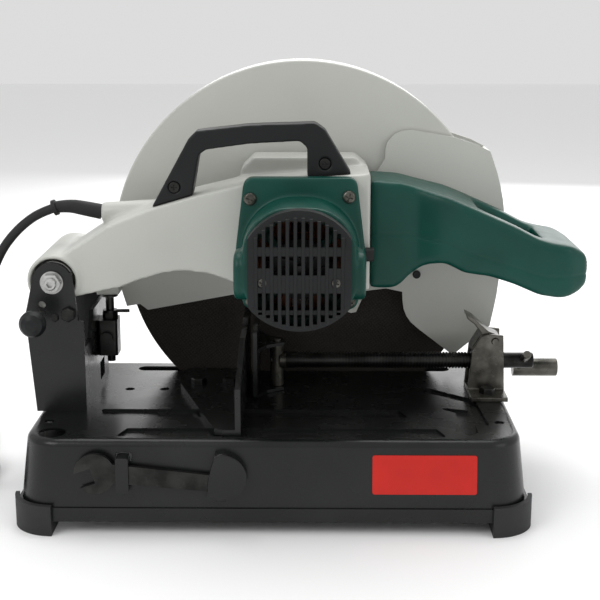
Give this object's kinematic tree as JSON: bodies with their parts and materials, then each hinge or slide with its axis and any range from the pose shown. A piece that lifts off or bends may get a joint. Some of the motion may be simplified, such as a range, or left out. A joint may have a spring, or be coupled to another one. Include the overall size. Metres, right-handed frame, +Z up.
{
  "type": "abrasive chop saw",
  "caption": "Bench cut-off saw: pressed base, hinged motor arm with abrasive wheel and guards, screw vise and fence.",
  "frame": {"origin": "on the bench under the middle of the machine's box, without its cord", "axes": "+X right along the vise screw, +Y away from the user, +Z up"},
  "size_m": [0.6902, 0.2909, 0.397],
  "materials": {
    "black_coat": "satin powder coat",
    "black_steel": "black oxide",
    "grey_paint": "satin paint",
    "green_plastic": "fine grained",
    "dark_plastic": "fine grained",
    "rubber": "matt",
    "red_label": "gloss",
    "steel": "ground",
    "copper": "wound",
    "abrasive": "coarse",
    "carbon": "matt"
  },
  "bodies": {
    "base": {"base_pan": "black_coat", "rubber_feet": "rubber", "pivot_bracket": "black_coat", "base_bolts": "black_steel", "pivot_shaft": "steel", "pivot_nut_and_washers": "steel", "depth_stop_block": "black_steel", "depth_stop_locknut": "black_steel", "label_plate": "red_label", "fence": "black_coat", "vise_bracket": "black_coat", "half_nut": "black_steel", "lever_pin": "black_steel", "cord_lead": "rubber", "cord_coil": "rubber", "plug": "rubber"},
    "arm": {"arm_casting": "grey_paint", "pivot_bushes": "steel", "gear_case_cover": "grey_paint", "ball_bearings": "steel", "motor_housing": "green_plastic", "motor_screws": "black_steel", "motor_end_cap": "dark_plastic", "brush_caps": "dark_plastic", "carbon_brushes": "carbon", "motor_stator": "copper", "fixed_guard": "grey_paint", "guard_rear_cover": "grey_paint", "handle_upper_shell": "green_plastic", "handle_lower_shell": "green_plastic", "switch_block": "dark_plastic", "cable_grommet": "rubber", "carry_handle": "dark_plastic", "carry_handle_screws": "black_steel", "cord_relief": "rubber", "torsion_spring": "steel"},
    "wheel": {"spindle": "steel", "drive_gear": "steel", "inner_flange": "steel", "outer_flange": "steel", "wheel_bolt": "black_steel", "abrasive_wheel": "abrasive"},
    "armature": {"armature_core": "copper", "commutator": "copper", "cooling_fan": "dark_plastic", "armature_shaft": "steel"},
    "swing_guard": {"swing_guard": "grey_paint", "guard_bumper": "rubber"},
    "lock": {"lock_pin": "steel", "lock_knob": "dark_plastic"},
    "depth_stop": {"depth_stop_screw": "black_steel"},
    "trigger": {"trigger": "dark_plastic"},
    "lock_button": {"lock_on_button": "dark_plastic"},
    "wrench": {"wheel_wrench": "black_steel"},
    "jaw_carrier": {"jaw_pin": "black_steel"},
    "vise_screw": {"vise_screw": "black_steel", "crank_rod": "black_steel", "crank_grip": "black_steel"},
    "jaw": {"jaw_plate": "black_coat"},
    "lever": {"release_lever": "black_steel"}
  },
  "joints": [
    {"name": "arm_lift", "type": "hinge", "parent": "base", "child": "arm", "pos_m": [-0.23285, 0, 0.2045], "axis": [0, -1, 0], "range_deg": [0, 45], "deforming": ["cord_lead"]},
    {"name": "wheel_spin", "type": "hinge", "parent": "arm", "child": "wheel", "pos_m": [-0.00775, 0.1, 0.206], "axis": [0, 1, 0], "continuous": true},
    {"name": "armature_spin", "type": "hinge", "parent": "arm", "child": "armature", "pos_m": [-0.00775, -0.06, 0.231], "axis": [0, 1, 0], "continuous": true},
    {"name": "guard_swing", "type": "hinge", "parent": "arm", "child": "swing_guard", "pos_m": [-0.00775, 0.074, 0.206], "axis": [0, -1, 0], "range_deg": [0, 40]},
    {"name": "lock_pin_push", "type": "slide", "parent": "base", "child": "lock", "axis": [0, 1, 0], "range_m": [0, 0.012]},
    {"name": "depth_stop_travel", "type": "slide", "parent": "base", "child": "depth_stop", "axis": [0, 0, 1], "range_m": [-0.012, 0]},
    {"name": "trigger_pull", "type": "slide", "parent": "arm", "child": "trigger", "axis": [1, 0, 0], "range_m": [0, 0.006], "stiffness_N_per_m": 400},
    {"name": "lock_button_press", "type": "slide", "parent": "arm", "child": "lock_button", "axis": [-1, 0, 0], "range_m": [0, 0.004], "stiffness_N_per_m": 300},
    {"name": "wrench_pull", "type": "slide", "parent": "base", "child": "wrench", "axis": [-0.9952, 0, 0.0974], "range_m": [0, 0.06]},
    {"name": "jaw_slide", "type": "slide", "parent": "base", "child": "jaw_carrier", "axis": [1, 0, 0], "range_m": [0, 0.16]},
    {"name": "crank_turn", "type": "hinge", "parent": "jaw_carrier", "child": "vise_screw", "pos_m": [0.06875, 0.032, 0.1115], "axis": [1, 0, 0], "continuous": true},
    {"name": "jaw_swivel", "type": "hinge", "parent": "jaw_carrier", "child": "jaw", "pos_m": [-0.03145, 0.032, 0.11], "axis": [0, 0, 1], "range_deg": [-8, 8]},
    {"name": "release_lever_lift", "type": "hinge", "parent": "base", "child": "lever", "pos_m": [0.17855, 0.032, 0.1344], "axis": [0, 1, 0], "range_deg": [0, 40]}
  ],
  "couplings": [
    {"joint": "armature_spin", "follows": "wheel_spin", "ratio": -4}
  ]
}
